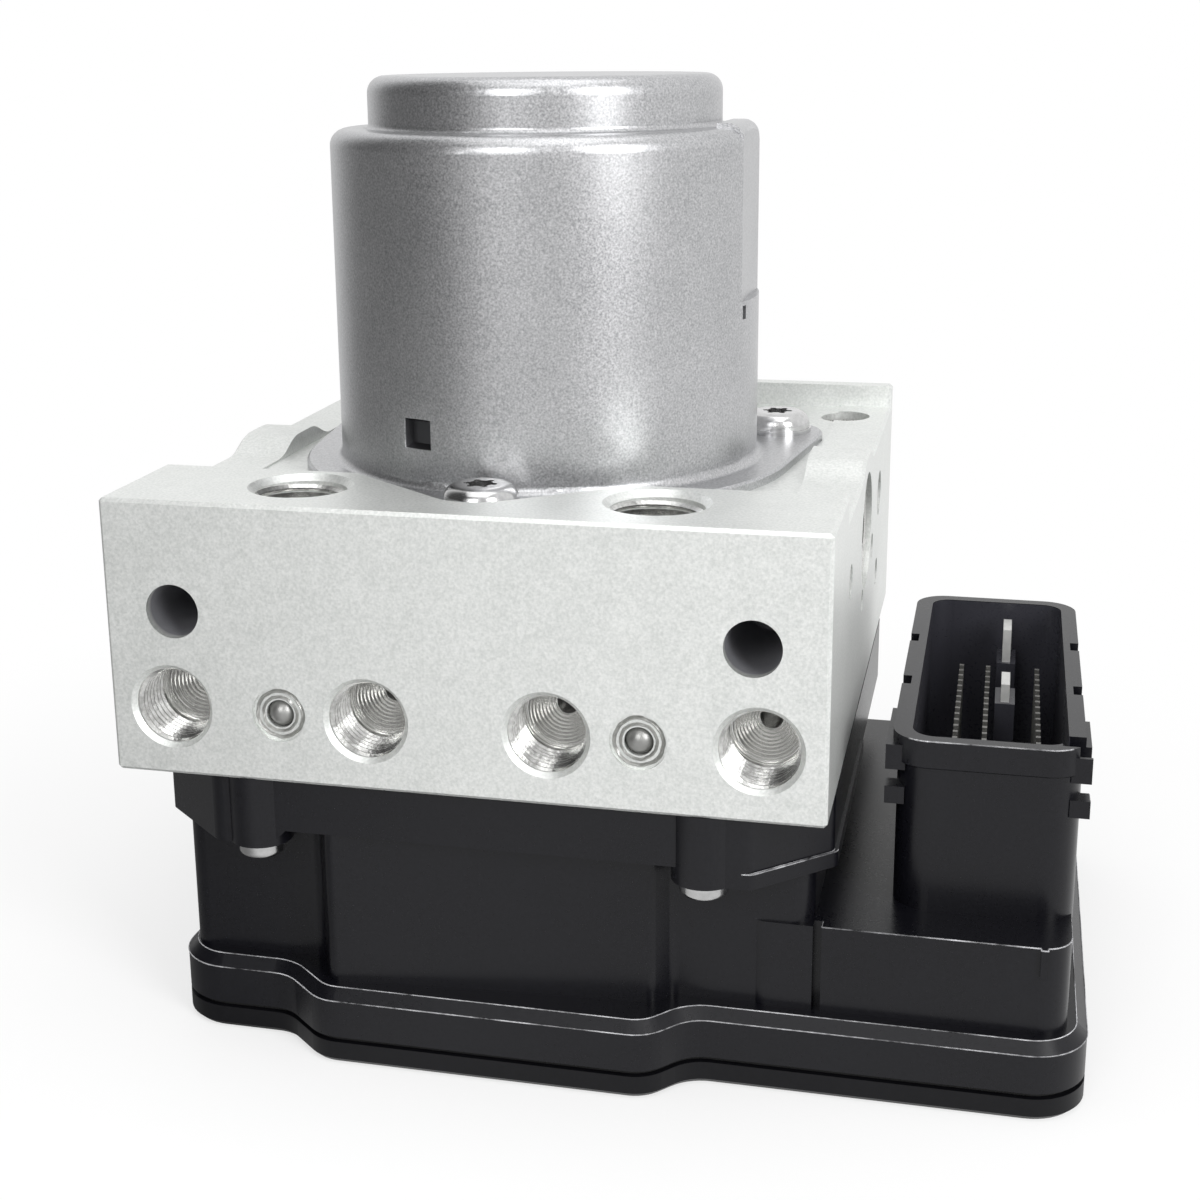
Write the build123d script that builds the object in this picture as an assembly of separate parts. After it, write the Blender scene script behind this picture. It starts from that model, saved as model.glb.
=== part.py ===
from build123d import *
import os
from math import cos, radians, sin, tan

# Anti-lock brake module: valve block, pump motor and control unit.
# Origin on the motor's axis at the base plane, +Z up, ports face -Y, socket at +X.

os.makedirs("parts", exist_ok=True)

# Valve block
block_w = 100.0
block_d = 107.0
block_h = 39.5
base_h = 42.0
motor_back = 54.0
bar_d = 21.0
rear_wall_d = 3.5
mid_drop = 3.7
seat_drop = 4.0
seat_half = 41.2
hump_half = 11.5
hump_flank = 9.0
hump_rise = 2.4
edge_break = 0.5

# Hydraulic ports and plain holes on the block
port_x = (-41.0, -12.6, 12.6, 41.0)
port_rise = 10.0
port_r = 5.45
port_mouth_r = 6.1
port_mouth_d = 0.7
port_depth = 9.5
cone_h = 3.4
cone_r = 4.6
seat_hole_r = 1.6
top_port_x = 25.3
top_port_back = 12.3
top_port_r = 6.45
top_port_mouth_r = 7.4
top_port_mouth_d = 0.9
top_port_depth = 12.0
top_cone_r = 5.2
bolt_hole_x = 40.0
bolt_hole_rise = 23.9
bolt_hole_r = 3.85
bolt_hole_depth = 20.0
ball_x = 25.1
ball_r = 2.0
ball_hole_depth = 6.0
stake_r = 3.9
stake_depth = 0.5
gallery_r = 1.9
rear_hole_at = (42.8, 40.0)
rear_hole_r = 4.15
rear_hole_depth = 12.0
side_holes = (
    (-27.4, 25.7, 2.5),
    (-5.6, 16.4, 1.75),
    (11.5, 20.5, 2.0),
    (23.0, 13.0, 2.25),
    (25.0, 26.0, 3.75),
)
side_hole_depth = 9.5
side_ball_inset = 0.6

# Pump, one half on each side of the motor's axis
pump_rise = 26.0
pump_bore_r = 7.0
pump_plug_r = 9.0
pump_plug_h = 8.0
pump_plug_inset = 0.7
plug_dimple_r = 3.0
plug_dimple_d = 2.5
cavity_r = 11.0
cavity_floor_rise = 12.0
eccentric_r = 6.0
eccentric_offset = 1.0
eccentric_ring_r = 8.0
eccentric_h = 9.0
piston_r = 3.0
piston_head_r = 4.3
piston_head_h = 1.6
piston_l = 17.0
sleeve_start = 14.0
sleeve_step = 25.6
sleeve_chamber_r = 4.7
pump_spring_r = 3.6
pump_wire_r = 0.5
running_gap = 0.03
open_gap = 0.1
press_gap = 0.02

# Accumulators, bored from the rear face
acc_x = 25.0
acc_rise = 18.0
acc_r = 9.2
acc_depth = 27.0
acc_cap_h = 4.0
acc_cap_inset = 0.8
acc_cap_wall = 3.0
acc_cap_dish = 1.5
acc_piston_h = 7.0
acc_piston_wall = 2.2
acc_piston_floor = 2.5
acc_spring_r = 5.2
acc_wire_r = 0.8
spring_turns = 5

# Solenoid valves
valve_x = (-31.5, -11.5, 11.5, 31.5)
inlet_y = -26.0
outlet_y = 15.0
valve_bore_r = 5.0
valve_bore_h = 8.0
valve_tip_r = 3.6
valve_tip_h = 3.5
neck_r = 2.7
neck_h = 8.0
dome_wall = 0.5
dome_h = 20.0
plunger_travel = 0.35
plunger_h = 10.78
rod_r = 0.8
coil_r = 7.2
coil_h = 18.0
coil_flange_t = 1.2
coil_winding_inset = 0.8
coil_top_gap = 4.0
yoke_wall = 0.9
coil_pin_x = 5.0
coil_pin_side = 0.8

# Pump motor
can_r = 32.5
can_wall = 2.0
flange_r = 38.0
flange_t = 1.5
ear_r = 7.4
ear_orbit = 39.0
ear_angles = (-90.0, 31.0, 149.0)
skirt_fillet = 1.3
shoulder_rise = 86.8
cap_r = 26.7
cap_fillet = 0.8
cap_top_rise = 94.4
can_round = 2.5
flat_depth = 1.1
flat_low_rise = 61.8
lug_w = 16.0
lug_in = 4.0
lug_h = 4.5
lug_rise = 0.7
lug_round = 2.4
slot_angle = -13.0
slot_w = 1.3
slot_h = 2.0
slot_drop = 0.6
dimple_angle = -111.4
dimple_w = 5.0
dimple_rise = 42.6
dimple_h = 4.6
dimple_depth = 1.5
dimple_taper = 0.7
scallop_r = 5.7
shaft_r = 4.0
shaft_tip_r = 3.0
shaft_tip_l = 4.8
shaft_top_drop = 3.9
magnet_t = 4.95
magnet_gap = 6.0
magnet_rise = 10.5
magnet_h = 36.0
air_gap = 0.7
rotor_slots = 12
rotor_rise = 14.5
rotor_h = 26.0
slot_width = 4.4
slot_mouth_w = 1.6
tooth_tip = 2.3
winding_in_r = 11.5
winding_end_h = 5.0
winding_round = 1.8
commutator_r = 10.0
commutator_gap = 1.0
bearing_r = 9.0
bearing_h = 4.8
bearing_drop = 9.4
holder_r = 11.0
holder_h = 6.0
holder_plate_t = 1.6
foot_bearing_r = 6.5
foot_bearing_h = 4.4
brush_plate_t = 2.0
brush_w = 5.1
brush_h = 5.05
brush_l = 8.9
guide_wall = 1.4
guide_end = 2.0
brush_spring_r = 1.8
brush_wire_r = 0.25
screw_head_r = 5.25
screw_head_h = 3.3
screw_head_round = 2.0
screw_lip_r = 5.5
screw_lip_h = 0.7
screw_r = 2.95
screw_reach = 11.0
star_r = 1.7
star_tip_r = 0.5
star_orbit = 1.9
star_depth = 1.8

# Control unit
cover_t = 3.4
cover_break = 0.8
groove_t = 0.8
rim_top = 9.0
rim_crest = 11.3
rim_slope = 1.5
rim_left = -46.5
rim_right = 84.8
rim_rear = 41.0
rim_front = -49.0
rim_mid_front = -55.0
rim_step_x = (-28.0, -21.0, 26.3, 31.5)
rim_corner = 8.0
rim_step_r = 6.0
wall_t = 2.0
wall_left = -44.4
wall_right = 47.7
wall_rear = 35.5
wall_front = -45.4
wall_mid_front = (-52.0, -48.2)
wall_step_x = (-23.4, -20.2, 25.8, 28.4)
wall_corner = 3.0
wall_step_r = 1.8
platform_top = 24.0
platform_right = 82.0
platform_front = -45.8
platform_corner = 4.0
groove_w = 1.2
groove_d = 1.8
rib_x = 78.4
rib_w = 0.9
rib_h = 4.2
rib_out = 0.6
floor_t = 2.2
flange_h = 10.0
flange_strip_h = 8.0
flange_lip_h = 2.2
flange_lip = 0.5
flange_left = -47.6
flange_right = 50.0
flange_front = -52.3
flange_rear = 40.5
flange_bend_x = (-36.0, 39.5)
flange_bend_y = -42.3
boss_x = (-30.6, 33.2)
boss_front_y = -49.3
boss_rear_y = 39.6
boss_r = 4.5
boss_low = 0.4
ecu_screw_r = 2.4
ecu_head_r = 3.4
ecu_head_h = 2.3
ecu_head_round = 0.8
ecu_screw_reach = 5.5
shroud_left = 57.6
shroud_right = 82.3
shroud_front = -37.8
shroud_rear = 30.8
shroud_top = 49.0
shroud_wall = 1.9
shroud_corner = 5.0
collar_h = 4.0
collar_out = 0.7
notch_y = (7.2, -13.2)
notch_w = 3.6
notch_d = 1.3
hook_out = 0.8
hook_blocks = ((-36.5, -22.0, 44.0, 47.6), (-36.5, -33.5, 39.0, 41.5))
key_cut = 3.2
key_drop = 5.0
board_t = 1.6
board_edge_gap = 3.6
board_clear = 0.3
pin_top = 42.0
pin_side = 0.7
pin_rows = (64.9, 69.1, 76.8)
pin_front = -32.5
pin_pitch = 2.54
pin_count = 20
pin_tail = 1.0
blade_x = 71.9
blade_w = 1.3
blade_l = 6.0
blade_at = (0.5, 20.0)
blade_tops = (44.4, 47.0)
blade_foot_w = 3.0
blade_foot_top = 41.5
chips = (
    (-2.0, -2.0, 16.0, 16.0),
    (-28.0, -2.0, 12.0, 12.0),
    (24.0, -4.0, 12.0, 10.0),
    (46.0, 11.0, 12.0, 10.0),
    (45.0, -16.0, 10.0, 8.0),
    (-1.5, 26.5, 9.0, 9.0),
)
chip_h = 1.8
capacitor_at = ((52.5, -32.0), (52.5, -21.0), (52.5, 24.0))
capacitor_r = 4.0
capacitor_h = 10.0

# Levels and faces that follow from the sizes above
front = -motor_back
rear = front + block_d
top = base_h + block_h
mid_z = top - mid_drop
seat_z = top - seat_drop
pump_z = base_h + pump_rise
cavity_floor = base_h + cavity_floor_rise
half_w = block_w / 2
flange_top = seat_z + flange_t
cap_top = base_h + cap_top_rise
shoulder = base_h + shoulder_rise
can_in = can_r - can_wall
magnet_low = seat_z + magnet_rise
magnet_r = can_in - press_gap
rotor_r = magnet_r - magnet_t - air_gap
rotor_low = seat_z + rotor_rise
rotor_high = rotor_low + rotor_h
winding_r = rotor_r - tooth_tip
bearing_low = cap_top - bearing_drop
flange_low = base_h - flange_h - boss_low
valve_at = [(x, inlet_y) for x in valve_x] + [(x, outlet_y) for x in valve_x]
boss_at = [(x, boss_front_y) for x in boss_x] + [(x, boss_rear_y) for x in boss_x]
on_foot = (Align.CENTER, Align.CENTER, Align.MIN)


def upright(radius, z0, z1, x=0.0, y=0.0):
    return Pos(x, y, z0) * Cylinder(radius, z1 - z0, align=on_foot)


def tube(r_in, r_out, z0, z1, x=0.0, y=0.0):
    return upright(r_out, z0, z1, x, y) - upright(r_in, z0, z1, x, y)


def along_x(radius, x0, x1, y, z):
    return Pos(x0, y, z) * Rot(0, 90, 0) * Cylinder(radius, x1 - x0, align=on_foot)


def along_y(radius, y0, y1, x, z):
    return Pos(x, y0, z) * Rot(-90, 0, 0) * Cylinder(radius, y1 - y0, align=on_foot)


def block_of(x0, x1, y0, y1, z0, z1):
    return Pos(x0, y0, z0) * Box(x1 - x0, y1 - y0, z1 - z0, align=(Align.MIN, Align.MIN, Align.MIN))


def cone_up(r0, r1, z0, z1, x, y):
    return Pos(x, y, z0) * Cone(r0, r1, z1 - z0, align=on_foot)


def cone_back(r0, r1, y0, y1, x, z):
    return Pos(x, y0, z) * Rot(-90, 0, 0) * Cone(r0, r1, y1 - y0, align=on_foot)


def on_circle(radius, angle):
    return radius * cos(radians(angle)), radius * sin(radians(angle))


def rounded(points, radii):
    # A closed outline with each corner rounded to its own radius
    count = len(points)
    arcs = []
    for i in range(count):
        here = Vector(*points[i])
        to_last = (Vector(*points[i - 1]) - here).normalized()
        to_next = (Vector(*points[(i + 1) % count]) - here).normalized()
        half = radians(to_last.get_angle(to_next)) / 2
        back = radii[i] / tan(half)
        middle = here + (to_last + to_next).normalized() * (radii[i] / sin(half) - radii[i])
        arcs.append((here + to_last * back, middle, here + to_next * back))
    edges = []
    for i in range(count):
        edges.append(ThreePointArc(*arcs[i]))
        edges.append(Line(arcs[i][2], arcs[(i + 1) % count][0]))
    return make_face(edges)


def rounded_box(x0, x1, y0, y1, radius):
    return rounded([(x0, y1), (x0, y0), (x1, y0), (x1, y1)], [radius] * 4)


def slab(face, z0, z1):
    return Pos(0, 0, z0) * extrude(face, z1 - z0)


def ear_outline(ring_r, lobe_r, angles):
    outline = Circle(ring_r)
    for angle in angles:
        lobe = Pos(*on_circle(ear_orbit, angle)) * Circle(lobe_r)
        outline += make_hull(Circle(ring_r).edges() + lobe.edges())
    return outline


def fuse(solids):
    result = solids[0]
    for solid in solids[1:]:
        result += solid
    return result


def mirrored(solid):
    return [solid, mirror(solid, about=Plane.YZ)]


def coil_spring(radius, wire_r, length, turns):
    # Helix on +Z, centred on the axis
    path = Helix(pitch=(length - 2 * wire_r) / turns, height=length - 2 * wire_r, radius=radius)
    section = Plane(origin=path @ 0, z_dir=path % 0) * RegularPolygon(wire_r, 6)
    return Pos(0, 0, wire_r) * sweep(section, path=path)


parts = {}


# Valve block: extruded bar stock, then milled and drilled
def block_profile():
    crest = mid_z + hump_rise
    flat = hump_half - hump_flank
    with BuildSketch(Plane.YZ) as sketch:
        with BuildLine():
            Polyline(
                (hump_half, mid_z),
                (rear - rear_wall_d, mid_z),
                (rear - rear_wall_d, top),
                (rear, top),
                (rear, base_h),
                (front, base_h),
                (front, top),
                (front + bar_d, top),
                (front + bar_d, mid_z),
                (-hump_half, mid_z),
            )
            Spline((-hump_half, mid_z), (-flat, crest), tangents=((1, 0), (1, 0)))
            Line((-flat, crest), (flat, crest))
            Spline((flat, crest), (hump_half, mid_z), tangents=((1, 0), (1, 0)))
        make_face()
    return sketch.sketch


def long_edges(body):
    # The four outer edges that run along X
    edges = []
    for edge in body.edges().filter_by(Axis.X):
        middle = edge.center()
        outer_y = min(abs(middle.Y - front), abs(middle.Y - rear))
        outer_z = min(abs(middle.Z - top), abs(middle.Z - base_h))
        if outer_y < press_gap and outer_z < press_gap:
            edges.append(edge)
    return edges


def port_tool(x):
    z = base_h + port_rise
    mouth = cone_back(port_mouth_r, port_r, front, front + port_mouth_d, x, z)
    bore = along_y(port_r, front, front + port_depth, x, z)
    cone = cone_back(cone_r, seat_hole_r, front + port_depth, front + port_depth + cone_h, x, z)
    drill = along_y(seat_hole_r, front, inlet_y, x, z)
    return mouth + bore + cone + drill


def top_port_tool(x):
    y = front + top_port_back
    floor = top - top_port_depth
    mouth = cone_up(top_port_r, top_port_mouth_r, top - top_port_mouth_d, top, x, y)
    bore = upright(top_port_r, floor, top, x, y)
    cone = cone_up(seat_hole_r, top_cone_r, floor - cone_h, floor, x, y)
    drill = upright(gallery_r, base_h + port_rise, floor, x, y)
    return mouth + bore + cone + drill


def block():
    body = extrude(block_profile(), half_w, both=True)
    ends = body.faces().sort_by(Axis.X)
    body = chamfer(ends[0].edges() + ends[-1].edges() + long_edges(body), edge_break)
    seat = block_of(-seat_half, seat_half, front + bar_d, rear - rear_wall_d, seat_z, top)
    recess = slab(ear_outline(flange_r + 0.4, ear_r + 0.3, (ear_angles[0],)), seat_z, top)
    cuts = [seat, recess]
    cuts += [port_tool(x) for x in port_x]
    cuts += [top_port_tool(side * top_port_x) for side in (-1, 1)]
    for side in (-1, 1):
        bolt_z = base_h + bolt_hole_rise
        ball_z = base_h + port_rise
        cuts.append(along_y(bolt_hole_r, front, front + bolt_hole_depth, side * bolt_hole_x, bolt_z))
        cuts.append(along_y(ball_r, front, front + ball_hole_depth, side * ball_x, ball_z))
        cuts.append(along_y(stake_r, front, front + stake_depth, side * ball_x, ball_z))
        cuts.append(along_y(gallery_r, front, outlet_y, side * ball_x, ball_z))
        cuts.append(along_y(acc_r, rear - acc_depth, rear, side * acc_x, base_h + acc_rise))
    cuts.append(along_x(pump_bore_r, -half_w, half_w, 0, pump_z))
    cuts.append(along_x(pump_plug_r, -half_w, pump_plug_h - half_w, 0, pump_z))
    cuts.append(along_x(pump_plug_r, half_w - pump_plug_h, half_w, 0, pump_z))
    cuts.append(upright(cavity_r, cavity_floor, seat_z))
    cuts.append(upright(foot_bearing_r, cavity_floor - shaft_tip_l - 0.2, cavity_floor))
    for x, y in valve_at:
        cuts.append(upright(valve_bore_r, base_h, base_h + valve_bore_h, x, y))
        cuts.append(upright(valve_tip_r, base_h + valve_bore_h, base_h + valve_bore_h + valve_tip_h, x, y))
    for angle in ear_angles:
        cuts.append(upright(screw_r + 0.05, seat_z - screw_reach, seat_z, *on_circle(ear_orbit, angle)))
    for x, y in boss_at:
        cuts.append(upright(ecu_screw_r, base_h, base_h + ecu_screw_reach, x, y))
    for side in (-1, 1):
        for y, rise, radius in side_holes:
            x0 = min(side * half_w, side * (half_w - side_hole_depth))
            cuts.append(along_x(radius, x0, x0 + side_hole_depth, y, base_h + rise))
    cuts.append(upright(rear_hole_r, mid_z - rear_hole_depth, mid_z, *rear_hole_at))
    for cut in cuts:
        body -= cut
    return body


def ball_plugs():
    y = front + stake_depth + ball_r * 0.7
    return [Pos(side * ball_x, y, base_h + port_rise) * Sphere(ball_r) for side in (-1, 1)]


def side_balls():
    balls = []
    for side in (-1, 1):
        for y, rise, radius in side_holes:
            x = side * (half_w - radius - side_ball_inset)
            balls.append(Pos(x, y, base_h + rise) * Sphere(radius))
    return balls


# Pump: plugs, cylinders, pistons and their springs
def pump_plug():
    outer = half_w - pump_plug_inset
    body = along_x(pump_plug_r - press_gap, half_w - pump_plug_h, outer, 0, pump_z)
    body = chamfer(body.edges().sort_by(Axis.X)[-1], pump_plug_inset)
    return body - along_x(plug_dimple_r, outer - plug_dimple_d, outer, 0, pump_z)


def pump_cylinder():
    end = half_w - pump_plug_h
    body = along_x(pump_bore_r - press_gap, sleeve_start, end, 0, pump_z)
    body -= along_x(piston_r + running_gap, sleeve_start, sleeve_step, 0, pump_z)
    return body - along_x(sleeve_chamber_r, sleeve_step, end, 0, pump_z)


def piston_start():
    return eccentric_offset + eccentric_ring_r + open_gap + 2 * eccentric_offset


def pump_piston():
    x0 = piston_start()
    rod = along_x(piston_r, x0, x0 + piston_l, 0, pump_z)
    return rod + along_x(piston_head_r, x0 + piston_l, x0 + piston_l + piston_head_h, 0, pump_z)


def pump_spring():
    x0 = piston_start() + piston_l + piston_head_h
    x1 = half_w - pump_plug_h
    return Pos(x0, 0, pump_z) * Rot(0, 90, 0) * coil_spring(pump_spring_r, pump_wire_r, x1 - x0, spring_turns)


# Accumulators: piston, spring and cap in each rear bore
def acc_parts():
    x = acc_x
    z = base_h + acc_rise
    low = rear - acc_depth + 0.05
    outer = rear - acc_cap_inset
    cap = along_y(acc_r - press_gap, outer - acc_cap_h, outer, x, z)
    cap -= along_y(acc_r - acc_cap_wall, outer - acc_cap_dish, outer, x, z)
    piston = along_y(acc_r - running_gap, low, low + acc_piston_h, x, z)
    piston -= along_y(acc_r - acc_piston_wall, low + acc_piston_floor, low + acc_piston_h, x, z)
    y0 = low + acc_piston_floor
    coil = coil_spring(acc_spring_r, acc_wire_r, outer - acc_cap_h - y0, spring_turns)
    return cap, piston, Pos(x, y0, z) * Rot(-90, 0, 0) * coil


# Pump motor
def can_profile():
    foot_r = can_r + skirt_fillet
    edge_r = cap_r + cap_fillet
    inner_cap_r = cap_r - can_wall
    break_in = 0.6
    with BuildSketch(Plane.XZ) as sketch:
        with BuildLine():
            Polyline((can_in, seat_z), (foot_r + 0.5, seat_z), (foot_r + 0.5, flange_top))
            Line((foot_r + 0.5, flange_top), (foot_r, flange_top))
            RadiusArc((foot_r, flange_top), (can_r, flange_top + skirt_fillet), skirt_fillet)
            Line((can_r, flange_top + skirt_fillet), (can_r, shoulder - can_round))
            RadiusArc((can_r, shoulder - can_round), (can_r - can_round, shoulder), -can_round)
            Line((can_r - can_round, shoulder), (edge_r, shoulder))
            RadiusArc((edge_r, shoulder), (cap_r, shoulder + cap_fillet), cap_fillet)
            Line((cap_r, shoulder + cap_fillet), (cap_r, cap_top - can_round))
            RadiusArc((cap_r, cap_top - can_round), (cap_r - can_round, cap_top), -can_round)
            Polyline(
                (cap_r - can_round, cap_top),
                (0, cap_top),
                (0, cap_top - can_wall),
                (inner_cap_r - break_in, cap_top - can_wall),
                (inner_cap_r, cap_top - can_wall - break_in),
                (inner_cap_r, shoulder - can_wall),
                (can_in - break_in, shoulder - can_wall),
                (can_in, shoulder - can_wall - break_in),
                (can_in, seat_z),
            )
        make_face()
    return sketch.sketch


def side_lug():
    # The lug that fills the shoulder's round above the flat
    outer = can_r - flat_depth
    low = shoulder + lug_rise - lug_h
    body = block_of(outer - lug_in, outer, -lug_w / 2, lug_w / 2, low, low + lug_h)
    crown = body.edges().filter_by(Axis.Y).group_by(Axis.Z)[-1]
    return fillet(crown.sort_by(Axis.X)[-1], lug_round)


def motor_can():
    can = revolve(can_profile(), Axis.Z)
    plate = slab(ear_outline(flange_r, ear_r, ear_angles) - Circle(can_r), seat_z, flange_top)
    can += chamfer(plate.faces().sort_by(Axis.Z)[-1].outer_wire().edges(), flange_t * 0.25)
    flat_low = base_h + flat_low_rise
    can -= block_of(can_r - flat_depth, can_r + 1.0, -can_r, can_r, flat_low, shoulder + 1.0)
    can += side_lug()
    slot_top = flat_low - slot_drop
    slot = block_of(can_r - flat_depth, can_r + 1.0, -slot_w / 2, slot_w / 2, slot_top - slot_h, slot_top)
    can -= Rot(0, 0, slot_angle) * slot
    dimple_z = base_h + dimple_rise
    mouth = Plane.YZ.offset(can_r + 0.2) * Pos(0, dimple_z + dimple_h / 2) * Rectangle(dimple_w, dimple_h)
    floor = Plane.YZ.offset(can_r - dimple_depth) * Pos(0, dimple_z + dimple_h / 2) * Rectangle(
        dimple_w - 2 * dimple_taper, dimple_h - 2 * dimple_taper
    )
    can -= Rot(0, 0, dimple_angle) * loft([floor, mouth])
    for angle in ear_angles:
        x, y = on_circle(ear_orbit, angle)
        can -= upright(scallop_r, flange_top, flange_top + screw_head_h + 0.5, x, y)
        can -= upright(screw_r + 0.25, seat_z, flange_top, x, y)
    return can


def magnets():
    high = magnet_low + magnet_h
    ring = tube(magnet_r - magnet_t, magnet_r, magnet_low, high)
    gap = block_of(-can_r, can_r, -magnet_gap / 2, magnet_gap / 2, magnet_low, high)
    cross = gap + Rot(0, 0, 90) * gap
    return list((Rot(0, 0, 45) * (ring - cross)).solids())


def around(solid):
    return [Rot(0, 0, i * 360 / rotor_slots) * solid for i in range(rotor_slots)]


def slot_bar(clear):
    # One slot of the rotor, or with a clearance the wire that fills it
    half = slot_width / 2 - clear
    return block_of(winding_in_r + 1.5 + clear, winding_r - clear, -half, half, rotor_low, rotor_high)


def rotor_core():
    core = tube(shaft_r, rotor_r, rotor_low, rotor_high)
    half = slot_mouth_w / 2
    mouth = block_of(winding_r - 0.5, rotor_r + 1.0, -half, half, rotor_low, rotor_high)
    for slot in around(slot_bar(0.0) + mouth):
        core -= slot
    return core


def rotor_winding():
    end_r = winding_r - 0.5
    low = tube(winding_in_r, end_r, rotor_low - winding_end_h, rotor_low)
    high = tube(winding_in_r, end_r, rotor_high, rotor_high + winding_end_h)
    low = fillet(low.faces().sort_by(Axis.Z)[0].edges(), winding_round)
    high = fillet(high.faces().sort_by(Axis.Z)[-1].edges(), winding_round)
    return fuse([low, high] + around(slot_bar(0.1)))


def commutator():
    return tube(shaft_r, commutator_r, seat_z + brush_plate_t, rotor_low - winding_end_h - commutator_gap)


def shaft():
    body = upright(shaft_r, cavity_floor, cap_top - shaft_top_drop)
    return body + upright(shaft_tip_r, cavity_floor - shaft_tip_l, cavity_floor)


def eccentric():
    low = pump_z - eccentric_h / 2
    body = upright(eccentric_r, low, low + eccentric_h, eccentric_offset)
    return body - upright(shaft_r, low, low + eccentric_h)


def eccentric_ring():
    low = pump_z - eccentric_h / 2
    return tube(eccentric_r, eccentric_ring_r, low, low + eccentric_h, eccentric_offset)


def bearing_holder():
    plate = upright(cap_r - can_wall, bearing_low, bearing_low + holder_plate_t)
    plate += upright(holder_r, bearing_low - 0.6, bearing_low - 0.6 + holder_h)
    return plate - upright(bearing_r, bearing_low - 0.6, bearing_low - 0.6 + holder_h)


def across(solid):
    # The two brushes stand opposite each other between the magnets
    return [Rot(0, 0, 45 + 90 * side) * solid for side in (-1, 1)]


def brush_plate():
    low = seat_z + brush_plate_t
    inner = commutator_r + 2.5
    end = inner + brush_l + 5.6
    half = brush_w / 2 + 0.05
    plate = upright(can_in - 0.1, seat_z, low)
    guide_top = low + brush_h + 0.15 + guide_wall
    guide = block_of(inner, end, -half - guide_wall, half + guide_wall, low, guide_top)
    guide -= block_of(inner, end - guide_end, -half, half, low, low + brush_h + 0.15)
    for placed in across(guide):
        plate += placed
    return plate - upright(inner - 0.3, seat_z, low)


def brushes():
    low = seat_z + brush_plate_t + 0.05
    inner = commutator_r + 0.1
    return across(block_of(inner, inner + brush_l, -brush_w / 2, brush_w / 2, low, low + brush_h))


def brush_springs():
    inner = commutator_r + 0.1 + brush_l
    length = 2.4 + 5.6 - guide_end
    coil = coil_spring(brush_spring_r, brush_wire_r, length, spring_turns)
    return across(Pos(inner, 0, seat_z + brush_plate_t + brush_h / 2) * Rot(0, 90, 0) * coil)


def motor_screws():
    screws = []
    head_top = flange_top + screw_head_h
    for angle in ear_angles:
        x, y = on_circle(ear_orbit, angle)
        head = upright(screw_head_r, flange_top, head_top, x, y)
        head = fillet(head.edges().sort_by(Axis.Z)[-1], screw_head_round)
        head += upright(screw_lip_r, flange_top, flange_top + screw_lip_h, x, y)
        star = upright(star_r, head_top - star_depth, head_top, x, y)
        for i in range(6):
            dx, dy = on_circle(star_orbit, 60 * i)
            star += upright(star_tip_r, head_top - star_depth, head_top, x + dx, y + dy)
        screws.append(head - star + upright(screw_r, seat_z - screw_reach + 0.5, flange_top, x, y))
    return screws


# Solenoid valves between the block and the circuit board
def valve_body(x, y):
    tip_low = base_h + valve_bore_h
    body = upright(valve_bore_r - press_gap, base_h, tip_low, x, y)
    body += upright(valve_tip_r - press_gap, tip_low, tip_low + valve_tip_h - 0.5, x, y)
    body += upright(neck_r, base_h - neck_h, base_h, x, y)
    return body - upright(rod_r + 0.2, base_h - neck_h, tip_low, x, y)


def valve_dome(x, y):
    low = base_h - dome_h
    body = upright(neck_r + dome_wall, low, base_h, x, y)
    return body - upright(neck_r, low + dome_wall, base_h, x, y)


def valve_plunger(x, y, lift):
    low = base_h - dome_h + dome_wall + press_gap + lift
    high = low + plunger_h
    return upright(neck_r - 0.05, low, high, x, y) + upright(rod_r, high, base_h + valve_bore_h - 1.0, x, y)


def valve_coil(x, y):
    high = base_h - coil_top_gap
    low = high - coil_h
    body = upright(coil_r, low, low + coil_flange_t, x, y)
    body += upright(coil_r, high - coil_flange_t, high, x, y)
    body += upright(coil_r - coil_winding_inset, low, high, x, y)
    return body - upright(neck_r + dome_wall + 0.1, low, high, x, y)


def coil_yoke(x, y):
    high = base_h - coil_top_gap
    low = high - coil_h
    outer = coil_r + yoke_wall
    body = upright(outer, low - yoke_wall, high, x, y) - upright(coil_r, low, high, x, y)
    body += upright(outer, high, base_h, x, y)
    return body - upright(neck_r + dome_wall, low - yoke_wall, base_h, x, y)


def coil_pins(x, y):
    low = rim_top - board_t - pin_tail
    high = base_h - coil_top_gap - coil_h - yoke_wall
    half = coil_pin_side / 2
    return [pin(x + d, y, half, low, high) for d in (-coil_pin_x, coil_pin_x)]


# Control unit
def rim_face(inset=0.0):
    x1, x2, x3, x4 = rim_step_x
    shift = inset * 0.4
    points = [
        (rim_left + inset, rim_rear - inset),
        (rim_left + inset, rim_front + inset),
        (x1 + shift, rim_front + inset),
        (x2 + shift, rim_mid_front + inset),
        (x3 - shift, rim_mid_front + inset),
        (x4 - shift, rim_front + inset),
        (rim_right - inset, rim_front + inset),
        (rim_right - inset, rim_rear - inset),
    ]
    corner = rim_corner - inset
    return rounded(points, [corner, corner] + [rim_step_r] * 4 + [corner, corner])


def wall_face(inset=0.0):
    x1, x2, x3, x4 = wall_step_x
    shift = inset * 0.5
    points = [
        (wall_left + inset, wall_rear - inset),
        (wall_left + inset, wall_front + inset),
        (x1 + shift, wall_front + inset),
        (x2 + shift, wall_mid_front[0] + inset),
        (x3 - shift, wall_mid_front[1] + inset),
        (x4 - shift, wall_front + inset),
        (wall_right - inset, wall_front + inset),
        (wall_right - inset, wall_rear - inset),
    ]
    corner = wall_corner - inset
    return rounded(points, [corner, corner] + [wall_step_r] * 4 + [corner, corner])


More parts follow.
